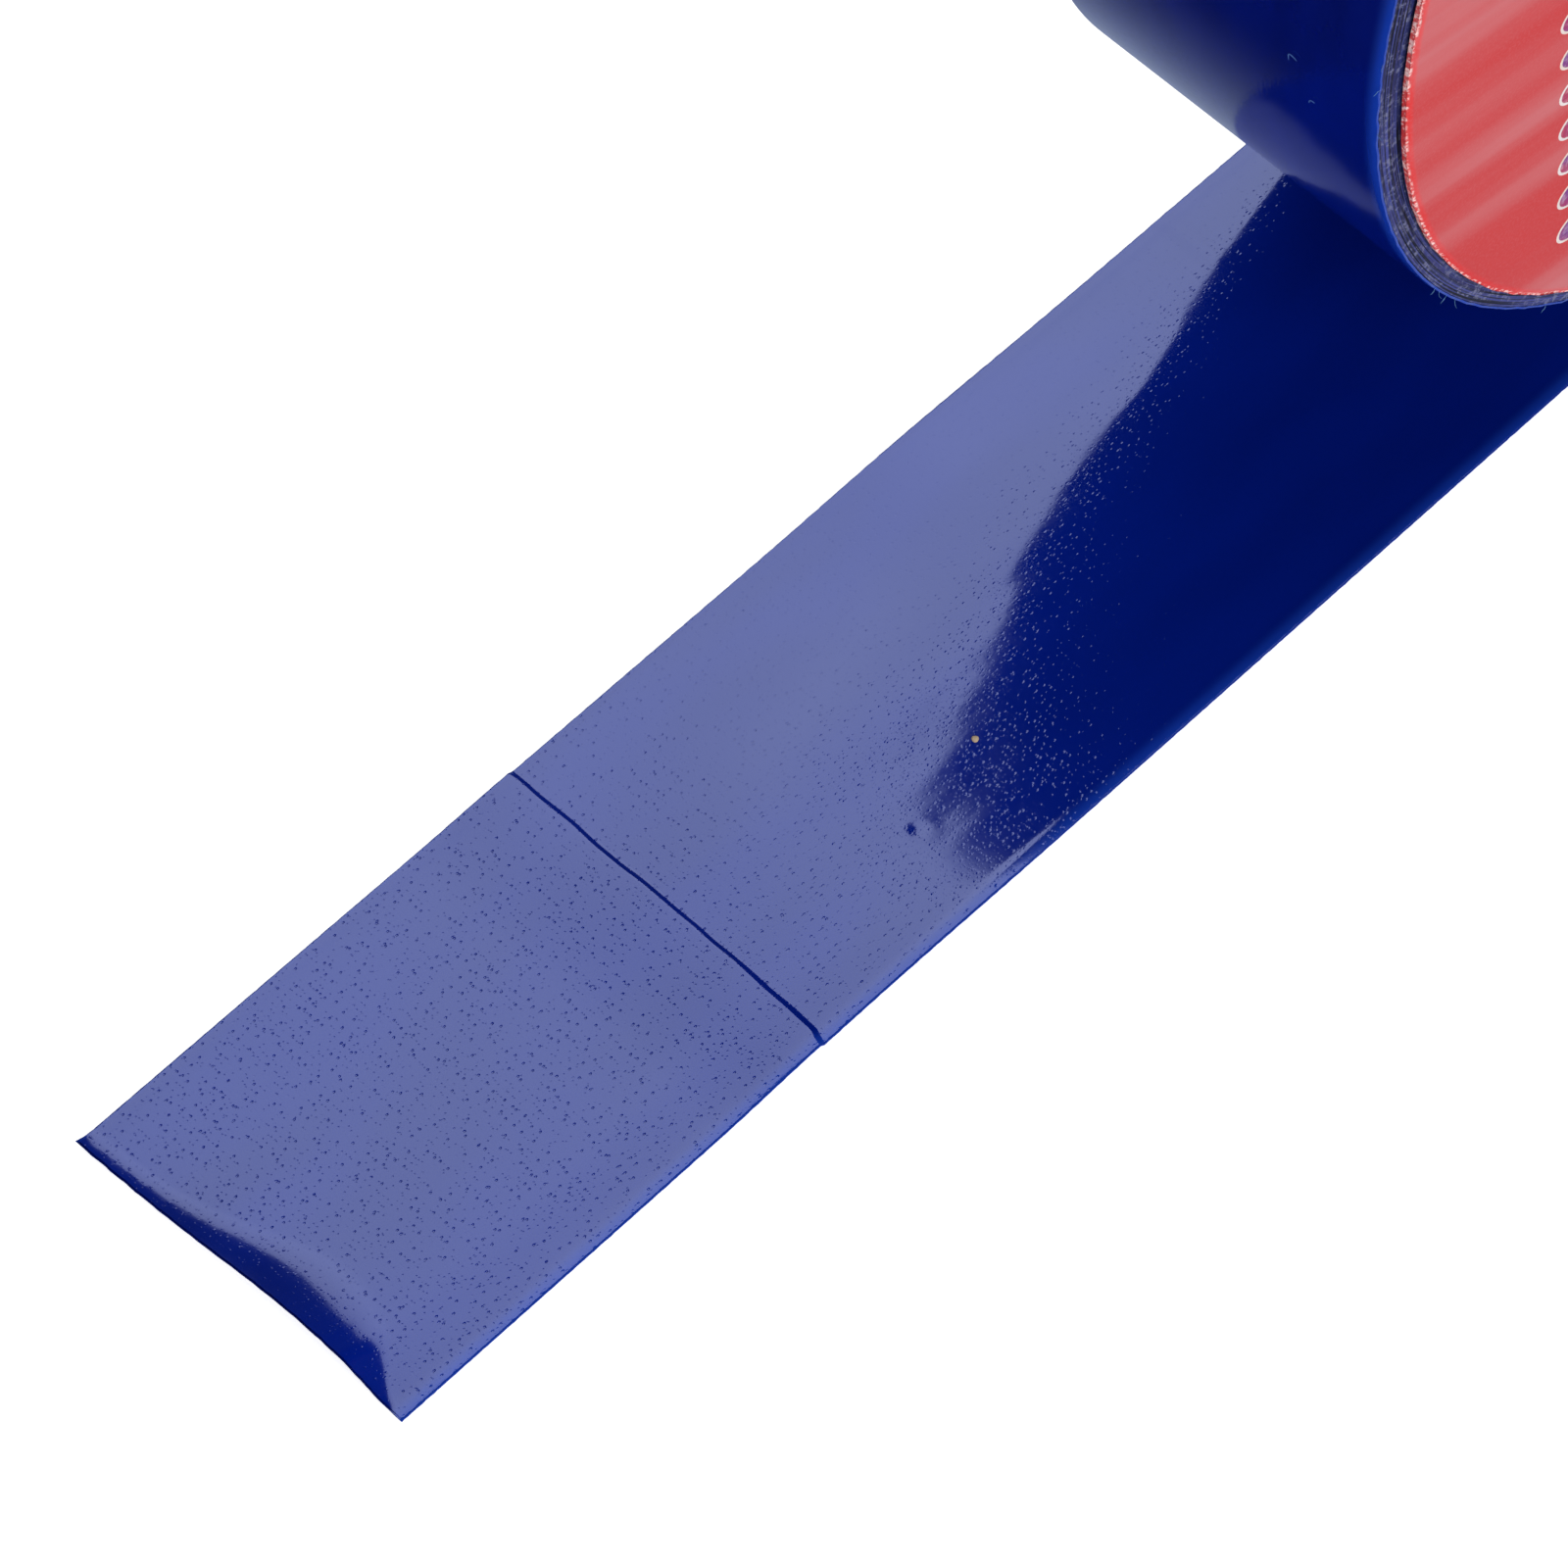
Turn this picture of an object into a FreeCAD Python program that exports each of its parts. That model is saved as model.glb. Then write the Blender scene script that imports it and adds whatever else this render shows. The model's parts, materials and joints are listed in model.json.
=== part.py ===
"""A roll of PVC electrical tape standing on edge, with a length of tape drawn off and laid out flat.

The frame has its origin at the centre of the core's bore. +Y runs along the bore, away from the labelled side,
+Z is up, and the drawn-off strip lies towards -X with its sticky side up. All sizes are in millimetres.

The tape is one film with glue on its inner side. It is wound on a cardboard core, its last turn comes round the
roll to the lowest point, and there it leaves the roll as the strip. The strip bends at two creases.
"""

import FreeCAD
import Part
import math
import os

# The tape
TAPE_WIDTH = 19.0
BACKING = 0.10
ADHESIVE = 0.03
TAPE = BACKING + ADHESIVE
ADHESIVE_SETBACK = 0.10

# The roll
ROLL_RADIUS = 35.6
TURN_GAP = 0.02
RUNNING_GAP = 0.05

# The core, wound from three plies of board and paper
BORE_RADIUS = 19.0
LINER_PLY = 0.4
BOARD_PLY = 1.2
WRAP_PLY = 0.4

# The label, a card disc held by a smaller ring of glue
LABEL_RADIUS = 34.3
LABEL_HOLE_RADIUS = 19.6
LABEL_CARD = 0.35
LABEL_GLUE = 0.28
GLUE_MARGIN = 1.3

# The strip, measured from the line where it leaves the roll
STRIP_LENGTH = 92.2
LIFT_CREASE = 26.5
END_CREASE = 67.2
CREASE_GAP = 0.10

HALF_WIDTH = TAPE_WIDTH / 2
CORE_RADIUS = BORE_RADIUS + LINER_PLY + BOARD_PLY + WRAP_PLY
TURN_PITCH = TAPE + TURN_GAP
COIL_RADIUS = ROLL_RADIUS - TAPE - TURN_PITCH - RUNNING_GAP
TABLE = -ROLL_RADIUS


def ring(outer, inner, y_low, y_high):
    """A flat ring about the roll's axis, between two heights along it."""
    start = FreeCAD.Vector(0, y_low, 0)
    along = FreeCAD.Vector(0, 1, 0)
    depth = y_high - y_low
    return Part.makeCylinder(outer, depth, start, along).cut(Part.makeCylinder(inner, depth, start, along))


def slab(x_near, x_far, half_width, z_low, z_high):
    """A flat stretch of the strip from x_near to x_far, both measured away from the roll."""
    corner = FreeCAD.Vector(-x_far, -half_width, z_low)
    return Part.makeBox(x_far - x_near, 2 * half_width, z_high - z_low, corner)


def quarter_arcs(first_radius):
    """One turn of a spiral as four tangent quarter arcs, from the lowest point up the +X side and round.

    Each quarter's radius is a quarter of the pitch less than the last, and its centre moves by the same
    amount towards their shared end, so the turn ends one pitch above where it started.
    """
    step = TURN_PITCH / 4
    centres = ((0, 0), (step, 0), (step, step), (0, step))
    arcs = []
    for quarter, (x, z) in enumerate(centres):
        radius = first_radius - quarter * step
        start = math.radians(-90 + 90 * quarter)
        points = []
        for part in (0, 0.5, 1):
            angle = start + part * math.pi / 2
            points.append(FreeCAD.Vector(x + radius * math.cos(angle), -HALF_WIDTH, z + radius * math.sin(angle)))
        arcs.append(Part.Arc(*points).toShape())
    return arcs


def last_turn():
    """The outermost turn: a spiral one tape thick, which ends just above its own start."""
    outer = quarter_arcs(ROLL_RADIUS)
    inner = quarter_arcs(ROLL_RADIUS - TAPE)
    z_start, z_end = TABLE, TABLE + TURN_PITCH
    start_cut = Part.makeLine((0, -HALF_WIDTH, z_start + TAPE), (0, -HALF_WIDTH, z_start))
    end_cut = Part.makeLine((0, -HALF_WIDTH, z_end), (0, -HALF_WIDTH, z_end + TAPE))
    outline = Part.Wire([start_cut, *outer, end_cut, *reversed(inner)])
    return Part.Face(outline).extrude(FreeCAD.Vector(0, TAPE_WIDTH, 0))


def core_plies():
    """The three plies of the core, one inside the other."""
    board = BORE_RADIUS + LINER_PLY
    wrap = board + BOARD_PLY
    return {
        "core_liner_ply": ring(board, BORE_RADIUS, -HALF_WIDTH, HALF_WIDTH),
        "core_board_ply": ring(wrap, board, -HALF_WIDTH, HALF_WIDTH),
        "core_wrap_ply": ring(CORE_RADIUS, wrap, -HALF_WIDTH, HALF_WIDTH),
    }


def wound_tape():
    """Every turn under the last one, as one coil."""
    return {"wound_tape": ring(COIL_RADIUS, CORE_RADIUS, -HALF_WIDTH, HALF_WIDTH)}


def label():
    """The label's card and the ring of glue that holds it to the side of the coil."""
    glue_face = -HALF_WIDTH - LABEL_GLUE
    glue = ring(LABEL_RADIUS - GLUE_MARGIN, CORE_RADIUS + GLUE_MARGIN, glue_face, -HALF_WIDTH)
    card = ring(LABEL_RADIUS, LABEL_HOLE_RADIUS, glue_face - LABEL_CARD, glue_face)
    return {"label_glue": glue, "label_card": card}


def strip():
    """The drawn-off strip in three flat stretches, each a backing film with its layer of glue on top."""
    half_gap = CREASE_GAP / 2
    stretches = {
        "lead": (0, LIFT_CREASE - half_gap),
        "middle": (LIFT_CREASE + half_gap, END_CREASE - half_gap),
        "end": (END_CREASE + half_gap, STRIP_LENGTH),
    }
    film_top = TABLE + BACKING
    glue_half_width = HALF_WIDTH - ADHESIVE_SETBACK
    pieces = {}
    for name, (near, far) in stretches.items():
        pieces[name + "_backing"] = slab(near, far, HALF_WIDTH, TABLE, film_top)
        pieces[name + "_adhesive"] = slab(near, far, glue_half_width, film_top, film_top + ADHESIVE)
    return pieces


os.makedirs("parts", exist_ok=True)
pieces = {**core_plies(), **wound_tape(), **label(), "last_turn": last_turn(), **strip()}
for name, shape in pieces.items():
    shape.exportStep(f"parts/{name}.step")
    print(f"{name}: valid {shape.isValid()}, solids {len(shape.Solids)}, volume {shape.Volume:.2f} mm3")
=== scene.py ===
"""The looks of a roll of blue electrical tape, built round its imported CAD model.

The roll stands on edge with its axis along Y and its label facing -Y. The drawn-off strip lies towards -X
with its sticky side up. All shapes are worked out in metres in the CAD model's own frame.
"""

import json
import math

import bpy
import numpy as np
from bpy.props import FloatProperty, FloatVectorProperty, PointerProperty
from mathutils import Matrix, Vector


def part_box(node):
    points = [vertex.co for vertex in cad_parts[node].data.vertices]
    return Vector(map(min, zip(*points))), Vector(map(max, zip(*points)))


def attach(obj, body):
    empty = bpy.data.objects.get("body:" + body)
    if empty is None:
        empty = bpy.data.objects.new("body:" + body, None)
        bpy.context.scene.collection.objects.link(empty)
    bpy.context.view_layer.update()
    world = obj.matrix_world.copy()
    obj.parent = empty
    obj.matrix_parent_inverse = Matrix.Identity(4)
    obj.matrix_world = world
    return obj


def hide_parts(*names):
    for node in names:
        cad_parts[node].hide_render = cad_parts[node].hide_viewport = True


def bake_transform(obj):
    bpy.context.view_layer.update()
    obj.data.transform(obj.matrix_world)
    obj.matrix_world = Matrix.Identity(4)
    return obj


bl_info = {
    "name": "Electrical Tape Roll",
    "version": (1, 0, 0),
    "blender": (4, 5, 0),
    "location": "View3D > Sidebar > Tape",
    "description": "Builds a tape roll's coil, strip, core, label and studio round its CAD frame",
    "category": "Object",
}

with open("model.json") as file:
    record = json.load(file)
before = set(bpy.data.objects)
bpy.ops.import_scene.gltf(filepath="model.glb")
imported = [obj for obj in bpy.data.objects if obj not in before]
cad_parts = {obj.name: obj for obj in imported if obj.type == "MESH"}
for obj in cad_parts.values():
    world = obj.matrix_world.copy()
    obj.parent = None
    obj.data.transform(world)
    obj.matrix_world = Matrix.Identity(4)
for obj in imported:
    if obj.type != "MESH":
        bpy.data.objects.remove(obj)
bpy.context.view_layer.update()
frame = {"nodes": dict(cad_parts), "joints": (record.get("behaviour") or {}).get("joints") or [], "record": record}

MM = 0.001
TURN = 2 * math.pi

# Places and sizes that the CAD frame gives
COIL_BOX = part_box("wound_tape")
CARD_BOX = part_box("label_card")
FILM_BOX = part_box("end_backing")
GLUE_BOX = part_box("end_adhesive")
TABLE = FILM_BOX[0].z
HALF_WIDTH = FILM_BOX[1].y
STRIP_LENGTH = -FILM_BOX[0].x
FILM = FILM_BOX[1].z - FILM_BOX[0].z
GLUE = GLUE_BOX[1].z - GLUE_BOX[0].z
LIFT_CREASE = -frame["joints"][1]["pos_m"][0]
END_CREASE = -frame["joints"][2]["pos_m"][0]
STRIP_SEAM = (LIFT_CREASE + END_CREASE) / 2
BORE_RADIUS = frame["record"]["mounts"][0]["dims"]["r_mm"] * MM

# One turn of tape on the coil's side
TURN_PITCH = 0.13 * MM

# The sine waves in each octave of a random curve
WAVES_EACH = 3

# The strip's UV map: one unit is 100 mm, and its middle line is at 0.5 across
MAP_SCALE = 10
MAP_MIDDLE = 0.5

# Low swells where the film lies clear of the table, with rounded values from a fit. All in millimetres:
# height, place along the strip, place across it, reach along and reach across
SWELLS = (
    (0.36, 63.0, -3.2, 7.0, 7.5),
    (0.34, 57.5, 2.4, 9.0, 5.0),
    (0.26, 43.0, 7.0, 6.5, 7.0),
)

# A glossy surface whose mirror image is tinted blue
BLUE_GLOSS = {"IOR": 1.5, "Specular_IOR_Level": 1.0, "Specular_Tint": (0.52, 0.61, 1.0, 1.0)}


# Shapes

def fade(value, low, high):
    """0 below low and 1 above high, with a smooth cubic in between."""
    t = np.clip((value - low) / (high - low), 0, 1)
    return t * t * (3 - 2 * t)


def bump_at(distance, width):
    """A bell curve: 1 at distance 0, falling to 1/e at one width."""
    return np.exp(-((distance / width) ** 2))


def wander(along, seed, wavelength, octaves=3):
    """A smooth random curve of a length: octaves of sines, each half as long and half as tall as the last,
    with random phases."""
    draw = np.random.default_rng(seed)
    total = np.zeros_like(along, dtype=float)
    for octave in range(octaves):
        for _ in range(WAVES_EACH):
            wave = wavelength / 2**octave * draw.uniform(0.7, 1.4)
            total = total + np.sin(TURN * along / wave + draw.uniform(0, TURN)) / 2**octave
    return total / (WAVES_EACH * math.sqrt(octaves))


def wander_round(angle, seed, waves, octaves=3):
    """The same about a full turn: whole numbers of sines, so that the curve closes."""
    draw = np.random.default_rng(seed)
    total = np.zeros_like(angle, dtype=float)
    for octave in range(octaves):
        for _ in range(WAVES_EACH):
            count = max(1, round(waves * 2**octave * draw.uniform(0.7, 1.4)))
            total = total + np.sin(count * angle + draw.uniform(0, TURN)) / 2**octave
    return total / (WAVES_EACH * math.sqrt(octaves))


def grid_faces(rows, columns, close_rows, close_columns):
    """The corner numbers of a grid's quads, row by row, closed round either way where asked."""
    r = np.arange(rows if close_rows else rows - 1)
    c = np.arange(columns if close_columns else columns - 1)
    here, there = np.meshgrid(r, c, indexing="ij")
    after_row, after_column = (here + 1) % rows, (there + 1) % columns
    corners = (here * columns + there, here * columns + after_column,
               after_row * columns + after_column, after_row * columns + there)
    return np.stack(corners, axis=-1).reshape(-1, 4)


def cap_faces(first, columns, reverse):
    """Quads across one end of a swept loop whose second half runs back under its first half."""
    i = np.arange(columns // 2 - 1)
    quads = first + np.stack((i, columns - 1 - i, columns - 2 - i, i + 1), axis=-1)
    return quads[:, ::-1] if reverse else quads


def make_mesh(name, points, faces, uv=None, sharp=40):
    """A mesh object from an array of points and of quads, smooth but for edges sharper than the angle."""
    mesh = bpy.data.meshes.new(name)
    mesh.from_pydata(points.reshape(-1, 3), [], faces)
    mesh.update()
    if uv is not None:
        corners = np.zeros(len(mesh.loops), dtype=np.int32)
        mesh.loops.foreach_get("vertex_index", corners)
        layer = mesh.uv_layers.new(name="surface")
        layer.data.foreach_set("uv", uv.reshape(-1, 2)[corners].ravel())
    mesh.shade_smooth()
    mesh.set_sharp_from_angle(angle=math.radians(sharp))
    piece = bpy.data.objects.new(name, mesh)
    bpy.context.scene.collection.objects.link(piece)
    return piece


def swept(name, points, uv=None, closed=False, sharp=40):
    """A closed loop carried along a path, as points[station, place on the loop]. An open path is capped."""
    stations, columns = points.shape[:2]
    faces = grid_faces(stations, columns, closed, True)
    if not closed:
        last = (stations - 1) * columns
        faces = np.concatenate((faces, cap_faces(0, columns, False), cap_faces(last, columns, True)))
    return make_mesh(name, points, faces, uv, sharp)


def finish_piece(piece, material, slot, *replaced):
    """Gives a piece its material, and hides the CAD nodes that it stands for. The slot is not used."""
    piece.data.materials.append(material)
    if replaced:
        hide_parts(*replaced)
    return piece


# The strip

def swells(along, across):
    """The low swells, each a bell curve both ways, flattened out before the cut end."""
    total = 0
    for high, place, side, long, wide in SWELLS:
        rise = high * MM * bump_at(along - place * MM, long * MM)
        total = total + rise * bump_at(across - side * MM, wide * MM)
    return bpy.context.scene.tape_sizes.swell * total * fade(STRIP_LENGTH - along, 4 * MM, 14 * MM)


def edge_bead(across):
    """A rounded bead just inside each slit edge, lower on the +Y side."""
    edge = HALF_WIDTH - np.abs(across)
    share = np.where(across < 0, 1, 0.4)
    return bpy.context.scene.tape_sizes.bead * share * bump_at(edge - 0.42 * MM, 0.24 * MM)


def fold_step(along, across):
    """The clear fold line: the film steps up sharply at it and comes most of the way down over 6 mm."""
    bow = 0.25 * MM * fade(-across, 8.6 * MM, 9.5 * MM)
    crease = END_CREASE + 0.12 * MM * wander(across, 11, 9 * MM) + bow
    depth = bpy.context.scene.tape_sizes.fold * (0.7 + 0.3 * fade(-across, -9 * MM, 6 * MM))
    up, down = fade(along, crease - 0.32 * MM, crease), fade(along, crease, crease + 6 * MM)
    return depth * up * (1 - 0.9 * down)


def end_curl(along, across):
    """The cut end's upward curl: a parabola over the last few millimetres, highest 3 mm from the middle."""
    reach = (0.35 + 1.2 * bump_at(across + 3.0 * MM, 5.4 * MM)) * fade(across, -9.6 * MM, -5.8 * MM)
    from_end = np.clip(1 - (STRIP_LENGTH - along) / (2.3 * MM * reach + 0.2 * MM), 0, 1)
    return bpy.context.scene.tape_sizes.curl * reach * from_end**2


def small_dent(along, across):
    """A pin-prick dent with a faint raised ring round it."""
    apart = np.hypot(along - 57 * MM, across + 5 * MM)
    return 0.003 * MM * bump_at(apart - 0.6 * MM, 0.4 * MM) - 0.016 * MM * bump_at(apart, 0.2 * MM)


def lie(along, across):
    """How high the strip's underside lies over the table.

    It is the sum of the swells, the edge beads, the fold's step, a faint earlier fold, the end's curl, a dent
    and a slight lift of the last stretch, all but its -Y edge.
    """
    faint = 0.02 * MM * bump_at(along - LIFT_CREASE, 0.5 * MM) * fade(across, 1 * MM, 6 * MM)
    camber = 0.10 * MM * fade(across, -9.5 * MM, -6.0 * MM) * fade(along, 62 * MM, 80 * MM)
    firm = swells(along, across) + edge_bead(across) + fold_step(along, across) + faint
    return firm + end_curl(along, across) + small_dent(along, across) + camber


def strip_stations(start, end):
    """Places along the strip, closer together at the fold line and at the cut end."""
    pitch = 0.2 * MM
    coarse = np.linspace(start, end, int(round((end - start) / pitch)) + 1)
    places = [coarse]
    for centre, half in ((END_CREASE, 1.2 * MM), (STRIP_LENGTH, 3 * MM)):
        fine = np.arange(centre - half, centre + half, 0.07 * MM)
        places.append(fine[(fine > start) & (fine < end)])
    return np.unique(np.round(np.concatenate(places), 6))


def strip_columns(count):
    """Places across the strip from -1 to 1, crowded towards both edges."""
    even = np.linspace(-1, 1, count)
    return 0.35 * even + 0.65 * np.sin(even * math.pi / 2)


def cut_back(across):
    """How far the strip's cut end is out of true at a place across it: a straight slant with small nicks."""
    slant = 0.05 * MM - 0.25 * MM * across / HALF_WIDTH
    return slant + 0.035 * MM * wander(across, 21, 1.1 * MM, 4)


def strip_layer(name, start, end, low, high, inset, columns, seed):
    """One layer of the strip between two places along it, as a thin closed slab that follows the lie.

    Low and high are the layer's faces over the strip's underside. The layer stops short of the slit edges and
    of the cut end by the inset, and its edges are ragged by a random curve of the length.
    """
    along = strip_stations(start, end)
    share = strip_columns(columns)
    top_along, top_share = np.meshgrid(along, share, indexing="ij")
    ragged = (wander(along, seed, 0.9 * MM, 4), wander(along, seed + 1, 0.8 * MM, 4))
    rag = 0.02 * MM * np.stack(ragged, axis=-1)
    side = np.where(top_share > 0, rag[:, :1], rag[:, 1:]) * np.abs(top_share) ** 12
    across = (HALF_WIDTH - inset) * top_share + np.sign(top_share) * side
    near_end = fade(top_along, STRIP_LENGTH - 3 * MM, STRIP_LENGTH)
    x = -(top_along - cut_back(across) * near_end - inset * near_end)
    base = TABLE + lie(top_along, across)
    round_off = (high - low) * 0.35 * bump_at(HALF_WIDTH - inset - np.abs(across), 0.06 * MM)
    top = np.stack((x, across, base + high - round_off), axis=-1)
    under = np.stack((x, across, base + low), axis=-1)
    points = np.concatenate((top, under[:, ::-1]), axis=1)
    flat = np.stack((top_along * MAP_SCALE, MAP_MIDDLE + across * MAP_SCALE), axis=-1)
    uv = np.concatenate((flat, flat[:, ::-1]), axis=1)
    return swept(name, points, uv)


def turn_radius(angle):
    """The last turn's outer radius: it shrinks evenly over the turn by one tape and a small gap."""
    tapes_per_turn = 1.15
    return -TABLE - tapes_per_turn * (FILM + GLUE) * angle / TURN


def last_turn_skin(name):
    """The outermost turn as one thin shell, swept from the strip's tangent up the +X side and once round.

    Its outer face is the spiral. Its inner face is a circle just over the coil, so the side shows no gap.
    """
    stations, columns = 720, 44
    angle = np.linspace(0, TURN, stations)
    share = strip_columns(columns)
    turn, place = np.meshgrid(angle, share, indexing="ij")
    ragged = (wander(angle, 31, 0.06), wander(angle, 32, 0.055))
    rag = 0.07 * MM * np.stack(ragged, axis=-1)
    side = np.where(place > 0, rag[:, :1], rag[:, 1:]) * np.abs(place) ** 12
    y = HALF_WIDTH * place + np.sign(place) * side
    edge = HALF_WIDTH - np.abs(y)
    outer = turn_radius(turn) - 0.05 * MM * bump_at(edge, 0.09 * MM)
    outer = outer + 0.015 * MM * wander_round(turn, 33, 9) * bump_at(edge - 1.5 * MM, 1.2 * MM)
    inner = np.full_like(outer, COIL_BOX[1].x + 0.06 * MM)
    around = np.stack((np.sin(turn), -np.cos(turn)), axis=-1)
    top = np.stack((outer * around[..., 0], y, outer * around[..., 1]), axis=-1)
    under = np.stack((inner * around[..., 0], y, inner * around[..., 1]), axis=-1)
    points = np.concatenate((top, under[:, ::-1]), axis=1)
    flat = np.stack((turn / TURN, MAP_MIDDLE + y * MAP_SCALE), axis=-1)
    uv = np.concatenate((flat, flat[:, ::-1]), axis=1)
    return swept(name, points, uv)


# The roll

def revolved(name, radius, y, stations, sharp=40):
    """A closed profile turned about the Y axis: radius and y hold [station, place on the profile]."""
    angle = np.linspace(0, TURN, stations, endpoint=False)[:, None]
    points = np.stack((radius * np.cos(angle), y, radius * np.sin(angle)), axis=-1)
    return swept(name, points, closed=True, sharp=sharp)


def ring_profile(inner, outer, low, high, radii, rises):
    """A ring's closed profile.

    It runs out over the low side, up the outer wall, back over the high side and down the bore. Each point
    has its radius, its place along the axis, and its side: -1 on the low side, 1 on the high side and 0 on
    a wall.
    """
    r = np.concatenate((radii, np.full(rises, outer), radii[::-1], np.full(rises, inner)))
    rise = np.linspace(0, 1, rises + 2)[1:-1]
    wall = low + (high - low) * rise
    y = np.concatenate((np.full(len(radii), low), wall, np.full(len(radii), high), wall[::-1]))
    side = np.concatenate((np.full(len(radii), -1.0), 0 * wall, np.full(len(radii), 1.0), 0 * wall))
    return r, y, side


def coil(name):
    """The wound turns as one ring with uneven sides.

    Each turn stands proud of its neighbours or behind them by a random height and two sines round the roll.
    Whole groups of turns stand out a little more, by two sines of the radius.
    """
    inner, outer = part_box("core_wrap_ply")[1].x + 0.02 * MM, COIL_BOX[1].x + 0.03 * MM
    fine_from = outer - 2.2 * MM
    coarse, fine = np.arange(inner, fine_from, TURN_PITCH * 2), np.arange(fine_from, outer, TURN_PITCH / 4)
    radii = np.concatenate((coarse, fine, [outer]))
    stations, most_turns = 400, 200
    r, y, side = ring_profile(inner, outer, COIL_BOX[0].y, COIL_BOX[1].y, radii, 3)
    angle = np.linspace(0, TURN, stations, endpoint=False)[:, None]
    turn_number = np.floor((outer - r) / TURN_PITCH + 0.001).astype(int)
    draw = np.random.default_rng(5)
    height = draw.normal(0, 1, most_turns)[turn_number]
    phase = draw.uniform(0, TURN, (2, most_turns))[:, turn_number]
    own = height + 0.8 * np.sin(angle + phase[0]) + 0.6 * np.sin(3 * angle + phase[1])
    group = np.sin(r / (2.3 * MM)) + 0.7 * np.sin(r / (0.9 * MM) + 1.3)
    relief = bpy.context.scene.tape_sizes.layer_relief * (own + 0.9 * group)
    inside = fade(r, inner, inner + 0.2 * MM)
    y = y + side * np.clip(relief, -0.08 * MM, 0.05 * MM) * inside
    return revolved(name, np.broadcast_to(r, (stations, len(r))), y, stations, sharp=75)


def core_ply(name, node, inner, rag, seed, seam):
    """One ply of the core as a tube.

    Random curves round it fur its ends and wave its walls. A helical groove, as deep as the seam, runs up its
    bore.
    """
    low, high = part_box(node)
    outer = high.x
    stations = 240
    radii = np.linspace(inner, outer, 7)
    r, y, side = ring_profile(inner, outer, low.y, high.y, radii, 40)
    angle = np.linspace(0, TURN, stations, endpoint=False)[:, None]
    fur = rag * (wander_round(angle, seed, 23, 4) + 0.6 * wander_round(angle + r * 900, seed + 1, 31, 3))
    y = y + side * fur - side * rag
    helix = math.radians(38)
    seam_place = TURN * 0.62 + y * math.tan(helix) / inner
    off = (angle - seam_place + math.pi) % TURN - math.pi
    groove = seam * bump_at(off * inner, 0.22 * MM) * (np.abs(r - inner) < 1e-6)
    wave = 0.02 * MM * wander_round(angle, seed + 2, 7, 2)
    radius = r + groove + wave * (1 - np.abs(side))
    return revolved(name, radius, y, stations, sharp=50)


def label_disc(name):
    """The label's card: a flat ring whose rim is torn, pinched thin and lifted by random curves round it."""
    low, high = CARD_BOX
    outer, inner = high.x, BORE_RADIUS + 0.6 * MM
    stations = 720
    wide = outer - inner
    flat, fringe = np.linspace(0, wide - 0.5 * MM, 30), wide - np.linspace(0.45, 0, 10) * MM
    radii = inner + np.concatenate((flat, fringe))
    r, y, side = ring_profile(inner, outer, low.y, high.y, radii, 2)
    angle = np.linspace(0, TURN, stations, endpoint=False)[:, None]
    torn = 0.05 * MM * wander_round(angle, 41, 60, 4) + 0.05 * MM * wander_round(angle, 42, 9, 2)
    radius = r + torn * fade(r, outer - 0.6 * MM, outer)
    pinch = 0.14 * MM * fade(r, outer - 0.32 * MM, outer) * (1 + 0.8 * wander_round(angle, 43, 70, 4))
    bend = 0.05 * MM * wander_round(angle, 44, 3, 3) * fade(r, outer - 2.4 * MM, outer)
    y = y + np.where(side < 0, pinch, 0) + bend
    return revolved(name, radius, y, stations, sharp=60)


def printed_beads(name, out, grow):
    """An oblong frame of small plain ovals round the label's hole, each a low dome just proud of the card.

    The rows clear the hole, and no oval stands in the frame's four corners. Out is how far the domes stand
    out, and grow is added to every oval's half width and half height.
    """
    wide, tall = 1.15 * MM, 0.85 * MM
    half_frame_wide, half_frame_tall = 23.9 * MM, 21.4 * MM
    column, row = np.linspace(-18.9, 18.9, 15) * MM, np.linspace(-21.2, 21.2, 17) * MM
    side = np.stack((np.full_like(column, -half_frame_wide), column), axis=-1)
    top = np.stack((row, np.full_like(row, half_frame_tall)), axis=-1)
    centres = np.concatenate((side, top, -side, -top))
    turn = math.radians(4.6)
    steps = 28
    angle = np.linspace(0, TURN, steps, endpoint=False)
    share = np.array((0.05, 0.5, 0.85, 1.0, 0.05))[:, None]
    rings = len(share)
    rise = np.array((1.0, 0.98, 0.6, 0.0, -0.5))[:, None] * out
    flat_x = centres[:, 0, None, None] + share * (wide + grow) * np.cos(angle)
    flat_z = centres[:, 1, None, None] + share * (tall + grow) * np.sin(angle)
    x = flat_x * math.cos(turn) - flat_z * math.sin(turn)
    z = flat_x * math.sin(turn) + flat_z * math.cos(turn)
    points = np.stack((x, np.broadcast_to(CARD_BOX[0].y - rise, x.shape), z), axis=-1)
    one = np.concatenate((grid_faces(rings, steps, False, True), cap_faces(0, steps, False),
                          cap_faces((rings - 1) * steps, steps, True)))[:, ::-1]
    faces = (one[None] + np.arange(len(centres))[:, None, None] * rings * steps).reshape(-1, 4)
    return make_mesh(name, points, faces)


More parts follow.
